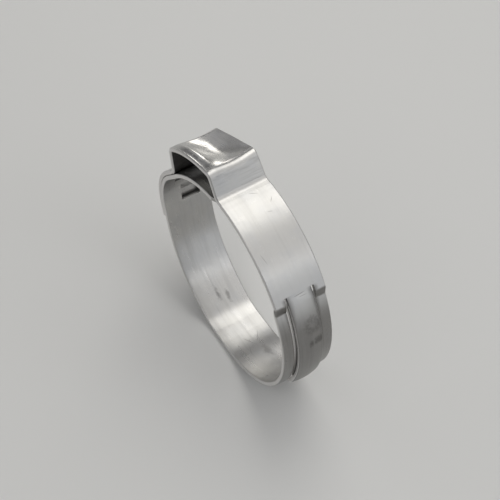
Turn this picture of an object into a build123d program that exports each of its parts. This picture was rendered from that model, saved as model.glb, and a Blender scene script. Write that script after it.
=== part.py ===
from build123d import *
from math import atan2, cos, degrees, pi, radians, sin, sqrt
import os

# Stepless ear hose clamp: one strip of stainless steel, rolled into a ring whose ends lap.
# Its inner end is a narrow tongue that runs under the outer layer and into a raised channel.
# Its outer end is folded up into the ear, laps the ring beyond it and is held by two hooks.
#
# Frame: the origin is the centre of the bore, +Y runs along the bore and +Z is up.
# Angles are in degrees about the bore, from +Z towards +X. Lengths are in millimetres.

# Strip
BORE_RADIUS = 14.3
BAND_WIDTH = 7.0
BAND_THICKNESS = 0.6
EDGE_RADIUS = 0.15          # rolled long edges
LAP_CLEARANCE = 0.04        # between the layers where the ring laps

# Places where the ring is out of round: two straight runs joined by a tighter bend.
# One is under the lapped outer end. The other gives the ring the short flat that it stands on.
BULGES = (                  # middle and half of its angle, and height
    (-75.5, 28.5, 0.9),
    (-165.0, 15.0, 0.28),
)

# Ear: feet and folds are the corners of the centreline before they are rounded
EAR_HEIGHT = 2.9            # from the outer layer to the folds of the ear
EAR_FEET = (-1.9, -48.0)    # right and left
EAR_FRONT_FOLDS = (-6.9, -40.8)
EAR_BACK_FOLDS = (-9.6, -42.6)
EAR_FOOT_RADIUS = 0.9       # inside radius
EAR_FOLD_RADIUS = 0.5       # inside radius
EAR_REACH = 4.0             # degrees of outer layer formed with the ear beyond each foot
OUTER_END = -98.0

# Dimple pressed into the top of the ear, from fold to fold and out to the back edge
DIMPLE_FRONT_MARGIN = 1.3   # from the front edge of the band to the dimple's rim
DIMPLE_DEPTH = 1.35         # below the arch of the ear's front edge
DIMPLE_BACK_DEPTH = 0.65    # at the back edge
DIMPLE_FRONT_SHARE = 0.55   # share of the dimple's width in front of its deepest line
DIMPLE_STEPS = 5            # sections that shape it on each side of that line

# Tongue at the inner end
SHOULDER_ANGLE = -8.0       # where the full width ends
TONGUE_START = 5.0          # where the tapered shoulders reach the tongue
TONGUE_END = 111.0
TONGUE_WIDTH = 3.5
TONGUE_CORNER_RADIUS = 1.2

# Channel: a raised middle strip between two slits, with side strips that step down.
# The crest and the steps keep their angles from the ends of the slits.
SLIT_START = 51.5
CREST_START = SLIT_START + 1.1  # where the raised strip rises a little above the outer layer
CREST_END = SLIT_START + 3.9
CREST_RISE = 0.12
CREST_RADIUS = 3.0          # centreline radius of both bends of the crest's ramp
SIDE_STEP_START = SLIT_START + 3.3
SIDE_STEP_END = SLIT_START + 7.1
SIDE_STEP_RADIUS = 0.45     # centreline radius of both bends of a side step
SLIT_END = 124.5
RAISED_STEP_START = SLIT_END - 10.0
RAISED_STEP_END = SLIT_END - 3.0
RAISED_STEP_RADIUS = 1.5
RAISED_WIDTH = 3.5
RAISED_CROWN = 0.2          # fall of the raised strip's outer face from its middle to its edges
RAISED_EDGE_RADIUS = 0.15   # drawn outer edges of the raised strip
SLIT_WIDTH = 0.3

# Hooks lanced out of the inner layer, through windows in the outer end
HOOK_LENGTH = 11.0          # degrees of ring
HOOK_RISE = 1.0
HOOK_GAP = 0.08             # between a hook and the sides of its slot and window
HOOKS = (                   # tip angle, middle along the bore, width
    (-73.5, 0.0, 3.4),
    (-90.5, 0.6, 2.6),
)
WINDOW_CORNER_RADIUS = 0.3

PARALLEL = 0.999999         # cosine above which two directions count as parallel
INNER_LEVEL = BORE_RADIUS + BAND_THICKNESS / 2
LAYER_STEP = BAND_THICKNESS + LAP_CLEARANCE
EAR_LEVEL = INNER_LEVEL + LAYER_STEP + EAR_HEIGHT
FULL_TURN = 360.0


def polar(radius, angle):
    """Point (x, z) at a distance from the bore axis and an angle from +Z."""
    return radius * sin(radians(angle)), radius * cos(radians(angle))


# ---------------------------------------------------------------- centreline of the ring

class Bulge:
    """An out-of-round stretch of the ring: a straight run, a bend and a straight run."""

    def __init__(self, middle, half_angle, height):
        self.middle = middle
        self.half_angle = half_angle
        self.shift = height / (1 - cos(radians(half_angle)))
        self.inner_radius = INNER_LEVEL + height - self.shift

    def bend_half_angle(self, level):
        """Half the angle that the bend takes up, seen from the bore axis."""
        turn = radians(self.half_angle)
        radius = self.inner_radius + level
        return degrees(atan2(radius * sin(turn), self.shift + radius * cos(turn)))

    def knots(self, level):
        """Angles where the runs and the bend meet, from the first to the last."""
        bend = self.bend_half_angle(level)
        return [self.middle + off for off in (self.half_angle, bend, -bend, -self.half_angle)]

    def covers(self, angle):
        return abs(angle - self.middle) < self.half_angle

    def is_straight(self, angle, level):
        return self.covers(angle) and abs(angle - self.middle) > self.bend_half_angle(level)

    def centreline_radius(self, angle, level):
        off = abs(angle - self.middle)
        if self.is_straight(angle, level):
            return (INNER_LEVEL + level) / cos(radians(self.half_angle - off))
        across = self.shift * sin(radians(off))
        return self.shift * cos(radians(off)) + sqrt((self.inner_radius + level) ** 2 - across ** 2)


RING_BULGES = [Bulge(*sizes) for sizes in BULGES]


def ring_radius(angle, level):
    """Distance from the bore axis to the centreline that lies level outside the inner one."""
    for bulge in RING_BULGES:
        if bulge.covers(angle):
            return bulge.centreline_radius(angle, level)
    return INNER_LEVEL + level


def ring_point(angle, level):
    return polar(ring_radius(angle, level), angle)


def ring_run(start, end, level):
    """Centreline edges of the ring, from the start angle down to the end angle."""
    knots = [knot for bulge in RING_BULGES for knot in bulge.knots(level) if end < knot < start]
    stops = [start, *knots, end]
    run = []
    for first, last in zip(stops, stops[1:]):
        middle = (first + last) / 2
        if any(bulge.is_straight(middle, level) for bulge in RING_BULGES):
            run.append(Line(ring_point(first, level), ring_point(last, level)))
        else:
            stations = [ring_point(angle, level) for angle in (first, middle, last)]
            run.append(ThreePointArc(*stations))
    return run


def join(pieces, corners=()):
    """Wire through the pieces. Each corner is a point and the radius that rounds it."""
    wire = Wire([piece.edge() for piece in pieces])
    for point, radius in corners:
        spot = Vector(*point)
        vertex = min(wire.vertices(), key=lambda v: (Vector(v.X, v.Y) - spot).length)
        wire = wire.fillet_2d(radius, [vertex])
    return wire


# ---------------------------------------------------------------- strips and cutters

def strip(wire, low, high, low_radius=0.0, high_radius=0.0, outer_radius=0.0, crown=0.0):
    """Band of strip along a centreline, from low to high along the bore.

    The radii round both corners of its low or high edge, or its two corners away from the bore.
    The crown is how far its outer face falls from its middle to its edges.
    """
    path = wire.moved(Plane.XZ.location)
    section_plane = Plane(origin=path @ 0, x_dir=(0, 1, 0), z_dir=path % 0)
    section = Rectangle(high - low, BAND_THICKNESS)
    if crown:
        radius = ((high - low) / 2) ** 2 / (2 * crown) + crown / 2
        section &= Pos(0, radius - BAND_THICKNESS / 2) * Circle(radius)
    section = Pos((low + high) / 2, 0) * section
    by_side = section.vertices().sort_by(Axis.X)
    by_depth = section.vertices().sort_by(Axis.Y)
    for corners, radius in ((by_side[:2], low_radius), (by_side[2:], high_radius),
                            (by_depth[:2], outer_radius)):
        if radius:
            near = [min(section.vertices(), key=lambda v: (v.center() - corner.center()).length)
                    for corner in corners]
            section = fillet(near, radius)
    return sweep(section_plane * section, path=path)


def along_bore(face, low, high):
    """Solid of a face drawn in (x, z), from low to high along the bore."""
    return extrude(Plane.XZ.offset(-high) * face, amount=high - low)


def wedge(start, end, inner, outer, low, high):
    """Block between two angles and two distances from the bore axis."""
    middle = (start + end) / 2
    outline = [
        Line(polar(inner, start), polar(outer, start)),
        ThreePointArc(polar(outer, start), polar(outer, middle), polar(outer, end)),
        Line(polar(outer, end), polar(inner, end)),
        ThreePointArc(polar(inner, end), polar(inner, middle), polar(inner, start)),
    ]
    return along_bore(make_face(outline), low, high)


def punch(start, end, inner, outer, low, high):
    """Wedge with round corners at its end, as a punch leaves them."""
    block = wedge(start, end, inner, outer, low, high)
    direction = Vector(*polar(1, end))
    corners = [edge for edge in block.edges().filter_by(GeomType.LINE)
               if abs((edge % 0).X * direction.X + (edge % 0).Z * direction.Y) > PARALLEL]
    return fillet(corners, WINDOW_CORNER_RADIUS)


# ---------------------------------------------------------------- parts of the strip

def inner_run():
    """Full width of the inner layer, with shoulders tapered to the tongue at its start."""
    wire = join(ring_run(TONGUE_START, SLIT_END - FULL_TURN, 0))
    run = strip(wire, -BAND_WIDTH / 2, BAND_WIDTH / 2, EDGE_RADIUS, EDGE_RADIUS)
    wide_x = polar(BORE_RADIUS, SHOULDER_ANGLE)[0]
    narrow_x = polar(BORE_RADIUS, TONGUE_START)[0] + BAND_THICKNESS
    slope_y = (BAND_WIDTH - TONGUE_WIDTH) / 2
    for side in (-1, 1):
        outline = Polyline((wide_x, side * BAND_WIDTH / 2), (narrow_x, side * BAND_WIDTH / 2),
                           (narrow_x, side * TONGUE_WIDTH / 2), close=True)
        run -= extrude(make_face(outline), amount=2 * BORE_RADIUS)
    return run


def dimple_lines():
    """Places along the bore of the dimple's rim and of its deepest line."""
    rim = DIMPLE_FRONT_MARGIN - BAND_WIDTH / 2
    return rim, rim + (BAND_WIDTH / 2 - rim) * DIMPLE_FRONT_SHARE


def dimple_depth(y):
    """Depth of the dimple at a place along the bore, half way between the ear's folds."""
    rim, deepest = dimple_lines()
    if y <= rim:
        return 0.0
    if y <= deepest:
        return DIMPLE_DEPTH * sin((y - rim) / (deepest - rim) * pi / 2)
    share = (y - deepest) / (BAND_WIDTH / 2 - deepest)
    return DIMPLE_BACK_DEPTH + (DIMPLE_DEPTH - DIMPLE_BACK_DEPTH) * cos(share * pi / 2)


def ear_section(y, thickness):
    """Section of the ear at a place along the bore, with a run of ring at each foot."""
    share = y / BAND_WIDTH + 0.5
    folds = [front + (back - front) * share
             for front, back in zip(EAR_FRONT_FOLDS, EAR_BACK_FOLDS)]
    right_foot, left_foot = (ring_point(angle, LAYER_STEP) for angle in EAR_FEET)
    right_fold, left_fold = (polar(EAR_LEVEL, angle) for angle in folds)
    top = polar(EAR_LEVEL - dimple_depth(y), sum(folds) / 2)
    pieces = ring_run(EAR_FEET[0] + 2 * EAR_REACH, EAR_FEET[0], LAYER_STEP)
    pieces += [Line(right_foot, right_fold), ThreePointArc(right_fold, top, left_fold),
               Line(left_fold, left_foot)]
    pieces += ring_run(EAR_FEET[1], EAR_FEET[1] - 2 * EAR_REACH, LAYER_STEP)
    wire = join(pieces, [(right_foot, EAR_FOOT_RADIUS + BAND_THICKNESS / 2),
                         (right_fold, EAR_FOLD_RADIUS + BAND_THICKNESS / 2),
                         (left_fold, EAR_FOLD_RADIUS + BAND_THICKNESS / 2),
                         (left_foot, EAR_FOOT_RADIUS + BAND_THICKNESS / 2)])
    return Plane.XZ.offset(-y) * trace(wire, line_width=thickness)


def ear():
    """The folded ear, dimpled between its folds from behind its front edge to its back edge."""
    rim, deepest = dimple_lines()
    edge = BAND_WIDTH / 2
    body = edge - EDGE_RADIUS
    stations = [-body, (rim - body) / 2]
    for start, end in ((rim, deepest), (deepest, body)):
        stations += [start + (end - start) * step / DIMPLE_STEPS for step in range(DIMPLE_STEPS)]
    stations.append(body)
    block = loft([ear_section(y, BAND_THICKNESS) for y in stations])
    for side in (-1, 1):
        lip = [ear_section(side * body, BAND_THICKNESS),
               ear_section(side * edge, BAND_THICKNESS - 2 * EDGE_RADIUS)]
        block += loft(lip, ruled=True)
    return block & wedge(EAR_FEET[0] + EAR_REACH, EAR_FEET[1] - EAR_REACH, BORE_RADIUS,
                         EAR_LEVEL + EAR_HEIGHT, -BAND_WIDTH, BAND_WIDTH)


def outer_run():
    """Full width of the outer layer, from the channel over the ear to the outer end."""
    right = join(ring_run(SLIT_START, EAR_FEET[0] + EAR_REACH, LAYER_STEP))
    left = join(ring_run(EAR_FEET[1] - EAR_REACH, OUTER_END, LAYER_STEP))
    band = ear()
    for wire in (right, left):
        band += strip(wire, -BAND_WIDTH / 2, BAND_WIDTH / 2, EDGE_RADIUS, EDGE_RADIUS)
    return band


def tongue():
    """Narrow tongue beyond the shoulders, with a rounded tip."""
    blade = strip(join(ring_run(TONGUE_END, TONGUE_START, 0)),
                  -TONGUE_WIDTH / 2, TONGUE_WIDTH / 2)
    tip_corners = blade.edges().group_by(SortBy.LENGTH)[0].sort_by(Axis.Z)[:2]
    return fillet(tip_corners, TONGUE_CORNER_RADIUS)


def channel():
    """Raised strip and the two side strips that step down beside it."""
    crest = LAYER_STEP + CREST_RISE
    raised_end = ring_point(RAISED_STEP_END, 0)
    raised_start = ring_point(RAISED_STEP_START, crest)
    crest_end = ring_point(CREST_END, crest)
    crest_start = ring_point(CREST_START, LAYER_STEP)
    pieces = ring_run(SLIT_END, RAISED_STEP_END, 0) + [Line(raised_end, raised_start)]
    pieces += ring_run(RAISED_STEP_START, CREST_END, crest) + [Line(crest_end, crest_start)]
    pieces += ring_run(CREST_START, SLIT_START, LAYER_STEP)
    raised_wire = join(pieces, [(raised_end, RAISED_STEP_RADIUS),
                                (raised_start, RAISED_STEP_RADIUS),
                                (crest_end, CREST_RADIUS), (crest_start, CREST_RADIUS)])

    side_foot = ring_point(SIDE_STEP_END, 0)
    side_top = ring_point(SIDE_STEP_START, LAYER_STEP)
    pieces = ring_run(SLIT_END, SIDE_STEP_END, 0) + [Line(side_foot, side_top)]
    pieces += ring_run(SIDE_STEP_START, SLIT_START, LAYER_STEP)
    side_wire = join(pieces, [(side_foot, SIDE_STEP_RADIUS), (side_top, SIDE_STEP_RADIUS)])

    side_edge = RAISED_WIDTH / 2 + SLIT_WIDTH
    return (
        strip(raised_wire, -RAISED_WIDTH / 2, RAISED_WIDTH / 2,
              outer_radius=RAISED_EDGE_RADIUS, crown=RAISED_CROWN),
        strip(side_wire, -BAND_WIDTH / 2, -side_edge, low_radius=EDGE_RADIUS),
        strip(side_wire, side_edge, BAND_WIDTH / 2, high_radius=EDGE_RADIUS),
    )


def cut_windows(outer, inner):
    """Cut the hooks' slots in the inner layer and their windows in the outer end."""
    for tip, middle, width in HOOKS:
        low = middle - width / 2 - HOOK_GAP
        high = middle + width / 2 + HOOK_GAP
        root = tip + HOOK_LENGTH
        gap = degrees(HOOK_GAP / INNER_LEVEL)
        inner_mid = ring_radius(tip, 0)
        outer_mid = ring_radius(tip, LAYER_STEP)
        inner -= punch(root, tip - gap, inner_mid - LAYER_STEP, inner_mid + LAYER_STEP / 2,
                       low, high)
        outer -= punch(root + gap, tip - gap, outer_mid - LAYER_STEP / 2,
                       outer_mid + LAYER_STEP, low, high)
    return outer, inner


def hooks():
    """Tongues that rise from the inner layer's slots, each to a square bearing end."""
    made = []
    for tip, middle, width in HOOKS:
        root = tip + HOOK_LENGTH
        low_root = ring_radius(root, 0) - BAND_THICKNESS / 2
        low_tip = ring_radius(tip, 0) - BAND_THICKNESS / 2 + HOOK_RISE
        outline = Polyline(polar(low_root, root), polar(low_root + BAND_THICKNESS, root),
                           polar(low_tip + BAND_THICKNESS, tip), polar(low_tip, tip), close=True)
        made.append(along_bore(make_face(outline), middle - width / 2, middle + width / 2))
    return made


def clamp_band():
    outer, inner = cut_windows(outer_run(), inner_run())
    band = inner + outer
    for piece in (*channel(), tongue(), *hooks()):
        band += piece
    return band


os.makedirs("parts", exist_ok=True)
export_step(clamp_band(), "parts/clamp_band.step")
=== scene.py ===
from functools import reduce
from math import cos, radians, sin

import bmesh
import bpy
from bpy.props import FloatProperty, FloatVectorProperty, PointerProperty
from mathutils import Matrix, Vector


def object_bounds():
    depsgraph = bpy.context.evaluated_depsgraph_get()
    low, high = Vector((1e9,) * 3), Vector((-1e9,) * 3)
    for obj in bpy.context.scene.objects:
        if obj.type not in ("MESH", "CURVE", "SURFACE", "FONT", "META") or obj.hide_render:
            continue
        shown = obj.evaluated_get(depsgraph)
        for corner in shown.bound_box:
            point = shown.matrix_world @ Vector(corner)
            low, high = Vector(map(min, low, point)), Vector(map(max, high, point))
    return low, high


bl_info = {
    "name": "Ear hose clamp",
    "version": (1, 0, 0),
    "blender": (4, 5, 0),
    "location": "3D View > Sidebar > Ear clamp",
    "description": "Finishes the clamp's steel strip and sets up a studio stage round it",
    "category": "Object",
}

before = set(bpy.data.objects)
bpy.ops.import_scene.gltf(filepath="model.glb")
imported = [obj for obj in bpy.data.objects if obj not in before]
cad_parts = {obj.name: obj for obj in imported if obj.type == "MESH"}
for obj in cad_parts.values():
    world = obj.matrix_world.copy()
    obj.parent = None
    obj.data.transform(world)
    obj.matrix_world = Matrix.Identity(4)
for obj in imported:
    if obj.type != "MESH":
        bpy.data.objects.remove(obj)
CAD_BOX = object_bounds()
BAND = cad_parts["clamp_band"]

MM = 0.001                       # one millimetre in scene units

# Sizes of the strip in millimetres. Angles are in degrees about the bore, from +Z towards +X.
HALF_WIDTH = 3.5                 # of the strip, along the bore
HALF_RAISED = 1.75               # of the channel's raised strip
BORE_RADIUS = 14.3
INNER_FACE = 14.9                # outside of the inner layer
OUTER_FACE = 15.55               # outside of the outer layer
HOOK_LENGTH = 11.0               # degrees of ring
HOOK_RISE = 1.0
HOOKS = ((-73.5, 0.0, 1.7), (-90.5, 0.6, 1.3))      # tip angle, middle and half of the width

# Stretches of the ring: the angles where each starts, is full, starts to fade and ends
CHANNEL_SPAN = (51.0, 53.0, 124.0, 125.0)
STEP_SPAN = (54.0, 55.5, 58.0, 60.0)                # side strips' step down
EAR_TOP_SPAN = (-41.5, -39.5, -11.5, -9.5)
EAR_RIGHT_LEG = (-9.0, -7.0)                        # these three only start and are full
EAR_LEFT_LEG = (-40.0, -41.0)
# Stretch over which the painted dark reflection comes in down the channel
PAINTED_REFLECTION_SPAN = (56.0, 72.0)

# Marks: middle and half sizes, turn about the bore and lean in degrees
SMUDGES = (
    # The first two smudges and the arch sit on the channel, real smudges made large and dark there as
    # painted shade
    ((15.35, 0.1, 2.8), (0.8, 0.5, 0.7), 79),
    ((15.3, 1.0, 2.9), (0.8, 1.15, 1.1), 80),
    ((-6.5, -0.4, -12.8), (1.2, 0.4, 0.6), 207),
    ((-5.9, 0.9, -13.1), (1.1, 0.35, 0.6), 204),
    ((4.6, 0.9, -13.5), (1.6, 0.6, 0.6), 161),
)
ARCH = ((14.57, 0.5, 5.5), (0.9, 0.85, 0.9), 68)    # a smudge with a paler middle
DENT = ((-9.5, -0.1, 14.9), (1.3, 0.5, 1.2), -33, 25)
DENT_DEPTH = 0.06
SCRATCHES = (
    ((12.35, -0.1, 9.45), (0.07, 1.0, 0.3), 52.5, 6),
    ((12.55, 0.3, 9.2), (0.05, 0.7, 0.3), 53.5, -4),
    ((1.7, -0.3, -14.25), (1.5, 0.05, 0.3), 173, 28),
    ((1.4, 1.2, -14.25), (1.3, 0.05, 0.3), 174, -31),
    ((0.1, 0.6, -14.6), (1.2, 0.04, 0.4), 180, 18),
    ((3.2, -1.0, -14.0), (1.0, 0.04, 0.4), 167, -20),
    ((0.9, 0.8, 15.5), (0.7, 0.05, 0.3), 3, 62),
    ((2.6, 2.2, 15.3), (0.5, 0.05, 0.3), 10, -40),
    ((3.9, 1.2, 15.0), (0.4, 0.04, 0.3), 15, 70),
    ((8.3, -2.4, 13.1), (0.9, 0.04, 0.3), 32, 15),
)
HAIRLINES = (                    # turn in radians, and density
    ((0.3, 0.2, 0.5), 0.40),
    ((0.9, -0.7, -0.35), 0.38),
)
HAIRLINE_STRETCH = (0.4, 5.0, 5.0)
# The bright rim is cut steel with a painted highlight along its rounded corner
EDGE_START, EDGE_FULL = 0.16, 0.03                  # bright sheared edge, from the strip's edge
GRAIN_DEPTH = 0.004

# Camera and floor. Azimuth 0 is -Y and 90 is +X.
CAMERA_AIM = Vector((-1.359, 1.720, 1.606)) * MM
CAMERA_DISTANCE = 139.97 * MM
CAMERA_AZIMUTH = 58.236
CAMERA_ELEVATION = 52.082
CAMERA_LENS = 78.28
SENSOR_WIDTH = 36.0
FLOOR_HALF = 2.0                 # metres
PAPER_GRAIN = 900.0              # per metre
PAPER_DEPTH = 0.05

SOFTBOXES = (                    # name, azimuth, elevation, distance, width, height, colour
    ("key", 227, 66, 0.30, 0.19, 0.18, (1.0, 0.98, 0.92)),
    ("top", 168, 66, 0.42, 0.84, 0.36, (1.0, 0.99, 0.97)),
    ("side", 110, 21, 0.36, 0.34, 0.30, (0.95, 0.975, 1.0)),
    ("back", 242, 4, 0.34, 0.07, 0.12, (1.0, 0.97, 0.91)),
    ("rear", 256, 17, 0.36, 0.20, 0.15, (1.0, 1.0, 1.0)),
    ("front", 22, 52, 0.42, 0.36, 0.26, (1.0, 0.99, 0.97)),
    ("fill", 318, 34, 0.40, 0.30, 0.24, (1.0, 1.0, 1.0)),
)


# ---------------------------------------------------------------- settings

class StripSettings(bpy.types.PropertyGroup):
    """Finish of the stainless strip."""
    steel: FloatVectorProperty(
        name="Steel", description="Colour of the clean rolled face", subtype="COLOR",
        default=(0.44, 0.435, 0.425), min=0, max=1)
    cool_steel: FloatVectorProperty(
        name="Cool steel", description="Colour of the strip's bluer clouds", subtype="COLOR",
        default=(0.385, 0.39, 0.405), min=0, max=1)
    # Lighter colour of cut steel and scratches, also painting highlights on the rims, the slit walls
    # and the hook lips
    cut_steel_and_highlight: FloatVectorProperty(
        name="Cut steel", description="Colour of the sheared edges", subtype="COLOR",
        default=(0.72, 0.71, 0.70), min=0, max=1)
    # Dark colour for the strip's streaks, forming lines and scratches, and for the painted shade round
    # the channel, on the steps and in the hooks' hollows
    shade_and_scratches: FloatVectorProperty(
        name="Soil", description="Colour of the soil round the channel and the hooks, and of scratches",
        subtype="COLOR", default=(0.16, 0.155, 0.15), min=0, max=1)
    # Colour of the smudges; on the channel it also serves as painted shade
    smudge: FloatVectorProperty(
        name="Smudge", description="Colour of the handling marks", subtype="COLOR",
        default=(0.07, 0.065, 0.06), min=0, max=1)
    roughness: FloatProperty(
        name="Roughness", description="Roughness of the rolled face", subtype="FACTOR",
        default=0.30, min=0, max=1)
    grain: FloatProperty(
        name="Grain", description="Strength of the fine rolling lines along the strip",
        subtype="FACTOR", default=0.22, min=0, max=1)
    wave: FloatProperty(
        name="Waviness", description="Height of the strip's shallow waves, a few millimetres long",
        default=0.03 * MM, min=0, unit="LENGTH", precision=6)


class StageSettings(bpy.types.PropertyGroup):
    """Colours and lights of the stage."""
    floor: FloatVectorProperty(
        name="Floor", description="Colour of the floor", subtype="COLOR",
        default=(0.67, 0.67, 0.66), min=0, max=1)
    room: FloatVectorProperty(
        name="Room", description="Light that comes from all round", subtype="COLOR",
        default=(0.195, 0.195, 0.20), min=0, max=1)
    key_power: FloatProperty(
        name="Key light", description="Power of the softbox high behind the ear",
        unit="POWER", default=0.165, min=0)
    top_power: FloatProperty(
        name="Top light", description="Power of the wide softbox high behind the clamp",
        unit="POWER", default=0.90, min=0)
    side_power: FloatProperty(
        name="Side light", description="Power of the softbox on the channel's side",
        unit="POWER", default=0.25, min=0)
    back_power: FloatProperty(
        name="Back light", description="Power of the small softbox level with the ear, behind it",
        unit="POWER", default=0.095, min=0)
    rear_power: FloatProperty(
        name="Rear light", description="Power of the softbox just above the back light",
        unit="POWER", default=0.040, min=0)
    front_power: FloatProperty(
        name="Front light", description="Power of the softbox high in front of the clamp",
        unit="POWER", default=0.24, min=0)
    fill_power: FloatProperty(
        name="Fill light", description="Power of the softbox in front, on the outer end's side",
        unit="POWER", default=0.11, min=0)


# ---------------------------------------------------------------- shader maths

MIX_SHARE, MIX_FROM, MIX_TO = 0, 6, 7               # inputs of a Mix node for colours
MIX_COLOUR = 2                                      # its output


class Socket:
    """One output socket of a node tree. Arithmetic on it adds Math nodes."""

    def __init__(self, tree, socket):
        self.tree = tree
        self.socket = socket

    def node(self, kind, inputs=None, output=0, **settings):
        """Add a node, set its settings first, then its inputs, and return one output."""
        made = self.tree.nodes.new(kind)
        for name, value in settings.items():
            setattr(made, name, value)
        for key, value in (inputs or {}).items():
            if isinstance(value, Socket):
                self.tree.links.new(value.socket, made.inputs[key])
            else:
                made.inputs[key].default_value = value
        return Socket(self.tree, made.outputs[output])

    def math(self, operation, *values):
        return self.node("ShaderNodeMath", dict(enumerate(values)), operation=operation)

    def __add__(self, other):
        return self.math("ADD", self, other)

    def __radd__(self, other):
        return self.math("ADD", other, self)

    def __sub__(self, other):
        return self.math("SUBTRACT", self, other)

    def __rsub__(self, other):
        return self.math("SUBTRACT", other, self)

    def __mul__(self, other):
        return self.math("MULTIPLY", self, other)

    def __rmul__(self, other):
        return self.math("MULTIPLY", other, self)

    def __abs__(self):
        return self.math("ABSOLUTE", self)

    def within(self, low, high):
        """Smooth share from 0 at low to 1 at high, either way round."""
        return self.node("ShaderNodeMapRange", {"Value": self, "From Min": low, "From Max": high},
                         interpolation_type="SMOOTHSTEP")

    def span(self, start, full, fading, end):
        """Smooth share that rises from start to full and falls back from fading to end."""
        return self.within(start, full) * self.within(end, fading)

    def scaled(self, x, y, z):
        """This vector times a factor along each axis."""
        return self.node("ShaderNodeVectorMath", {0: self, 1: (x, y, z)}, operation="MULTIPLY")

    def length(self):
        return self.node("ShaderNodeVectorMath", {0: self}, output="Value", operation="LENGTH")

    def noise(self, scale=1.0, detail=2.0, roughness=0.5):
        """Noise from 0 to 1 at this vector."""
        return self.node("ShaderNodeTexNoise", {"Vector": self, "Scale": scale, "Detail": detail,
                                                "Roughness": roughness})

    def relief(self, distance, strength=1.0, **normal):
        """Normal raised by this height, on top of another normal where one is given."""
        return self.node("ShaderNodeBump", {"Height": self, "Distance": distance,
                                            "Strength": strength, **normal})

    def tint(self, share, colour):
        """This colour with a share of another one."""
        return self.node("ShaderNodeMix", {MIX_SHARE: share, MIX_FROM: self, MIX_TO: (*colour, 1.0)},
                         output=MIX_COLOUR, data_type="RGBA")


def most(shares):
    """Largest of several shares."""
    return reduce(lambda one, other: one.math("MAXIMUM", one, other), shares)


def new_material(name):
    """Material with one Principled shader: returns it, its Object coordinates and the shader."""
    material = bpy.data.materials.new(name)
    material.use_nodes = True
    tree = material.node_tree
    place = Socket(tree, tree.nodes.new("ShaderNodeTexCoord").outputs["Object"])
    return material, place, tree.nodes["Principled BSDF"]


def feed(value, shader, name):
    """Send a value or a socket to an input of the shader."""
    if isinstance(value, Socket):
        value.tree.links.new(value.socket, shader.inputs[name])
    else:
        shader.inputs[name].default_value = value


# ---------------------------------------------------------------- the strip's finish

class StripPlace:
    """A point of the strip in millimetres and degrees, and the noises at it."""

    def __init__(self, place):
        self.spot = place.scaled(1 / MM, 1 / MM, 1 / MM)
        x, self.y, z = (self.spot.node("ShaderNodeSeparateXYZ", {"Vector": self.spot}, output=axis)
                        for axis in "XYZ")
        self.side = abs(self.y)
        self.angle = x.math("DEGREES", x.math("ARCTAN2", x, z))
        self.radius = self.spot.scaled(1.0, 0.0, 1.0).length()
        self.lines = self.spot.scaled(0.30, 14.0, 0.30).noise(1.0, 4.0, 0.6)
        self.streaks = self.spot.scaled(0.10, 2.0, 0.10).noise(1.0, 4.0, 0.65)
        self.cloud = self.spot.noise(0.55, 3.0)
        self.mottle = self.spot.noise(3.2, 3.0, 0.6)
        self.wave = self.spot.noise(0.42, 1.0)
        self.ragged = self.spot.noise(1.3, 4.0, 0.65) * 2.4 - 1.2       # from -1.2 to 1.2
        self.in_channel = self.angle.span(*CHANNEL_SPAN)

    def mark(self, centre, halves, turn, lean=0.0):
        """Distance from a mark's middle as a share of its half sizes."""
        turned = self.spot.node("ShaderNodeMapping", {
            "Vector": self.spot, "Location": centre, "Scale": halves,
            "Rotation": (0.0, radians(turn), radians(lean))}, vector_type="TEXTURE")
        return turned.length()


def hairlines(at):
    """Share of fine scratches that run every way."""
    def one_way(turn, density):
        bent = at.spot.node("ShaderNodeMapping", {"Vector": at.spot, "Rotation": turn,
                                                  "Scale": HAIRLINE_STRETCH})
        thin = abs(bent.noise(1.0, 1.0) - 0.5).within(0.008, 0.002)
        return thin * at.spot.noise(0.8, 1.0).within(1 - density, 1.05 - density)

    return sum(one_way(*lines) for lines in HAIRLINES)


def smudges_and_channel_shade(at):
    """Share of the smudges that hands have left; those on the channel are partly painted shade."""
    blots = [(at.mark(*smudge) + at.ragged).within(1.15, 0.1) for smudge in SMUDGES]
    arch = (at.mark(*ARCH) + at.ragged * 0.9).span(-0.1, 0.9, 0.9, 1.8)
    return most([*blots, arch * at.mottle.within(0.20, 0.60) * 0.65])


def slit_walls(at):
    """Share of the cut walls of the channel's two slits, lightened partly as a painted highlight."""
    return abs(at.side - HALF_RAISED).within(0.05, 0.02) * at.in_channel


def channel_painted_shade(at):
    """Share of painted shade beside the slits and on the steps, and of painted dark reflection down the
    channel.
    """
    past_slit = at.side - HALF_RAISED
    # Painted shade along the slits
    beside = (past_slit + at.ragged * 0.12).within(-0.75, 0.0) * past_slit.within(0.9, 0.3)
    # Painted shade on the side strips' step ramps
    steps = at.angle.span(*STEP_SPAN) * past_slit.within(0.2, 0.3)
    # Painted dark reflection down the channel, coming in over its first stretch
    painted_reflection = at.angle.within(*PAINTED_REFLECTION_SPAN) * (0.62 + 0.36 * at.streaks)
    shade_and_scratches = most((beside * at.in_channel, steps, painted_reflection * at.in_channel))
    return shade_and_scratches * at.radius.within(INNER_FACE - 0.2, INNER_FACE) * (1 - slit_walls(at))


def hook_lip_glints(at):
    """Share of painted glints on the hooks' square bearing ends."""
    lip_glints = []
    for tip, middle, half in HOOKS:
        lip_glint = abs(at.angle - (tip - 0.3)).within(0.30, 0.15)
        lip_glints.append(lip_glint * abs(at.y - middle).within(half + 0.1, half + 0.05))
    return most(lip_glints) * at.radius.within(INNER_FACE + 0.1, INNER_FACE)


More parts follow.
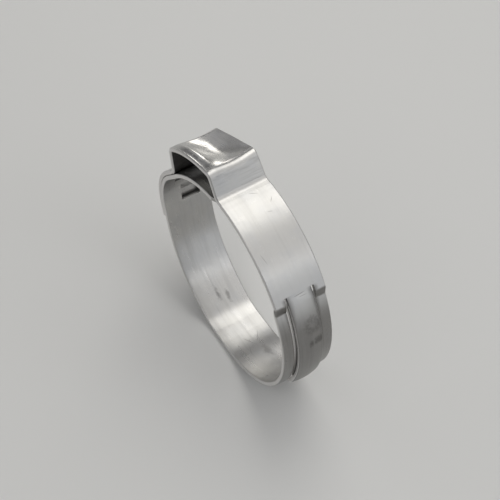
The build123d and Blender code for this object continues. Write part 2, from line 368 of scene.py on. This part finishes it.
def hook_pocket_shade(at):
    """Share of painted shade in the hollow side of the hooks."""
    pockets = []
    for tip, middle, half in HOOKS:
        along = at.angle.span(tip - 0.7, tip - 0.5, tip + 7.0, tip + 10.0)
        rise = (at.angle - (tip + HOOK_LENGTH)) * (HOOK_RISE / HOOK_LENGTH)
        depth = at.radius - BORE_RADIUS + rise
        across = abs(at.y - middle).within(half + 0.1, half + 0.05)
        pockets.append(along * depth.within(0.25, 0.15) * across)
    return most(pockets) * at.radius.within(BORE_RADIUS + 0.03, BORE_RADIUS + 0.15)


def ear_legs(at):
    """Share of the ear's two legs, whose steel was stretched where they were folded."""
    beyond_feet = most((at.angle.within(*EAR_RIGHT_LEG), at.angle.within(*EAR_LEFT_LEG)))
    return at.radius.within(OUTER_FACE - 0.25, OUTER_FACE + 0.25) * beyond_feet


def stainless_strip(settings):
    """Satin rolled stainless: lines along the strip, cloudy sheen, smudges, scratches, cut edges with
    painted highlights, and painted shade round the channel and in the hooks.
    """
    material, place, shader = new_material("stainless_strip")
    at = StripPlace(place)
    hairs = hairlines(at)
    marks = smudges_and_channel_shade(at)
    cuts = most([at.mark(*scratch).within(1.0, 0.5) for scratch in SCRATCHES])
    lip_glints = hook_lip_glints(at)
    # Painted shade round the channel, on the steps and in the hooks' hollows, kept off the hook lips
    shade_and_scratches = most((channel_painted_shade(at), hook_pocket_shade(at))) * (1 - lip_glints)
    # Cut rims, partly a painted highlight along their rounded corners
    edge = at.side.within(HALF_WIDTH - EDGE_START, HALF_WIDTH - EDGE_FULL)
    sheared_and_highlit = most((edge, slit_walls(at), lip_glints))
    legs = ear_legs(at)
    pressed = at.radius.within(INNER_FACE, OUTER_FACE - 0.25) * at.angle.span(*EAR_TOP_SPAN)
    forming = at.spot.scaled(3.0, 0.12, 3.0).noise(1.0, 3.0, 0.7) * legs
    streaks = at.streaks * (1 - legs) + 0.5 * legs

    shade = place.node("ShaderNodeRGB")
    shade.socket.default_value = (*settings.steel, 1.0)
    shade = shade.tint((at.cloud - 0.45) * 1.2, settings.cool_steel)
    shade = shade.tint((streaks - 0.5) * 0.75, settings.shade_and_scratches)
    shade = shade.tint(forming.within(0.45, 0.75) * 0.30, settings.shade_and_scratches)
    shade = shade.tint(hairs * 0.30, settings.cut_steel_and_highlight)
    # Cut steel, with painted highlights on the rims, the slit walls and the hook lips
    shade = shade.tint(sheared_and_highlit, settings.cut_steel_and_highlight)
    # Painted shade round the channel, on the steps and in the hooks' hollows
    shade = shade.tint(shade_and_scratches * 0.8, settings.shade_and_scratches)
    # Smudges, made darker on the channel as painted shade
    shade = shade.tint(marks * (0.38 + 0.14 * at.in_channel), settings.smudge)
    shade = shade.tint(cuts * 0.6, settings.shade_and_scratches)
    feed(shade, shader, "Base Color")

    rough = (settings.roughness + (at.lines - 0.5) * 0.10 + (streaks - 0.5) * 0.16
             + (at.mottle - 0.5) * 0.06 - pressed * 0.07 + forming * 0.14 + marks * 0.12
             + sheared_and_highlit * 0.14)
    feed(rough, shader, "Roughness")

    grain = at.lines * 0.7 + streaks * 0.5 + forming * 8.0 - hairs * 0.4 - cuts * 3.0
    normal = grain.relief(GRAIN_DEPTH * MM, settings.grain)
    normal = at.wave.relief(settings.wave, Normal=normal)
    normal = at.mark(*DENT).within(0.0, 1.0).relief(DENT_DEPTH * MM, Normal=normal)
    feed(normal, shader, "Normal")
    feed(1.0, shader, "Metallic")
    return material


# ---------------------------------------------------------------- stage

def looking(position, target):
    """Matrix at a position, with -Z towards a target and Y as near up as it goes."""
    turn = (target - position).to_track_quat("-Z", "Y").to_matrix().to_4x4()
    return Matrix.Translation(position) @ turn


def direction(azimuth, elevation):
    """Unit vector from the clamp towards an azimuth and an elevation."""
    a, e = radians(azimuth), radians(elevation)
    return Vector((sin(a) * cos(e), -cos(a) * cos(e), sin(e)))


def add_camera():
    data = bpy.data.cameras.new("camera")
    data.lens = CAMERA_LENS
    data.sensor_width = SENSOR_WIDTH
    data.clip_start = 0.005
    data.clip_end = 10.0
    camera = bpy.data.objects.new("camera", data)
    spot = CAMERA_AIM + CAMERA_DISTANCE * direction(CAMERA_AZIMUTH, CAMERA_ELEVATION)
    camera.matrix_world = looking(spot, CAMERA_AIM)
    bpy.context.scene.collection.objects.link(camera)
    bpy.context.scene.camera = camera


def add_softbox(name, azimuth, elevation, distance, width, height, colour, power):
    data = bpy.data.lights.new(name, "AREA")
    data.shape = "RECTANGLE"
    data.color = colour
    data.size, data.size_y, data.energy = width, height, power
    lamp = bpy.data.objects.new(name, data)
    lamp.matrix_world = looking(direction(azimuth, elevation) * distance, Vector())
    bpy.context.scene.collection.objects.link(lamp)


def paper(colour):
    """Matt paper with a fine grain."""
    material, place, shader = new_material("floor_paper")
    feed((*colour, 1.0), shader, "Base Color")
    feed(0.8, shader, "Roughness")
    feed(0.2, shader, "Specular IOR Level")
    feed(place.noise(PAPER_GRAIN, 2.0).relief(PAPER_DEPTH * MM, 0.15), shader, "Normal")
    return material


def add_floor(colour):
    shell = bmesh.new()
    bmesh.ops.create_grid(shell, x_segments=1, y_segments=1, size=FLOOR_HALF,
                          matrix=Matrix.Translation((0, 0, CAD_BOX[0].z)))
    mesh = bpy.data.meshes.new("floor")
    shell.to_mesh(mesh)
    shell.free()
    mesh.materials.append(paper(colour))
    floor = bpy.data.objects.new("floor", mesh)
    bpy.context.scene.collection.objects.link(floor)


def light_room(colour):
    world = bpy.data.worlds.new("studio")
    world.use_nodes = True
    world.node_tree.nodes["Background"].inputs["Color"].default_value = (*colour, 1.0)
    bpy.context.scene.world = world


# ---------------------------------------------------------------- add-on

class CLAMP_OT_finish_strip(bpy.types.Operator):
    """Give the clamp's strip its satin stainless finish"""
    bl_idname = "clamp.finish_strip"
    bl_label = "Finish strip"

    def execute(self, context):
        BAND.data.materials.clear()
        BAND.data.materials.append(stainless_strip(context.scene.clamp_strip))
        return {"FINISHED"}


class CLAMP_OT_build_stage(bpy.types.Operator):
    """Set up the floor, the lights and the camera"""
    bl_idname = "clamp.build_stage"
    bl_label = "Build stage"

    def execute(self, context):
        settings = context.scene.clamp_stage
        add_floor(settings.floor)
        light_room(settings.room)
        for name, *place in SOFTBOXES:
            add_softbox(f"{name}_softbox", *place, getattr(settings, f"{name}_power"))
        add_camera()
        context.scene.view_settings.view_transform = "Standard"
        return {"FINISHED"}


class CLAMP_PT_panel(bpy.types.Panel):
    bl_idname = "CLAMP_PT_panel"
    bl_label = "Ear hose clamp"
    bl_space_type = "VIEW_3D"
    bl_region_type = "UI"
    bl_category = "Ear clamp"

    def draw(self, context):
        for cls in OPERATORS:
            self.layout.operator(cls.bl_idname)


OPERATORS = (CLAMP_OT_finish_strip, CLAMP_OT_build_stage)
CLASSES = (StripSettings, StageSettings, *OPERATORS, CLAMP_PT_panel)


def register():
    for cls in CLASSES:
        bpy.utils.register_class(cls)
    bpy.types.Scene.clamp_strip = PointerProperty(type=StripSettings)
    bpy.types.Scene.clamp_stage = PointerProperty(type=StageSettings)


def unregister():
    del bpy.types.Scene.clamp_strip
    del bpy.types.Scene.clamp_stage
    for cls in reversed(CLASSES):
        bpy.utils.unregister_class(cls)


def main():
    register()
    bpy.ops.clamp.finish_strip()
    bpy.ops.clamp.build_stage()


if __name__ == "__main__":
    main()
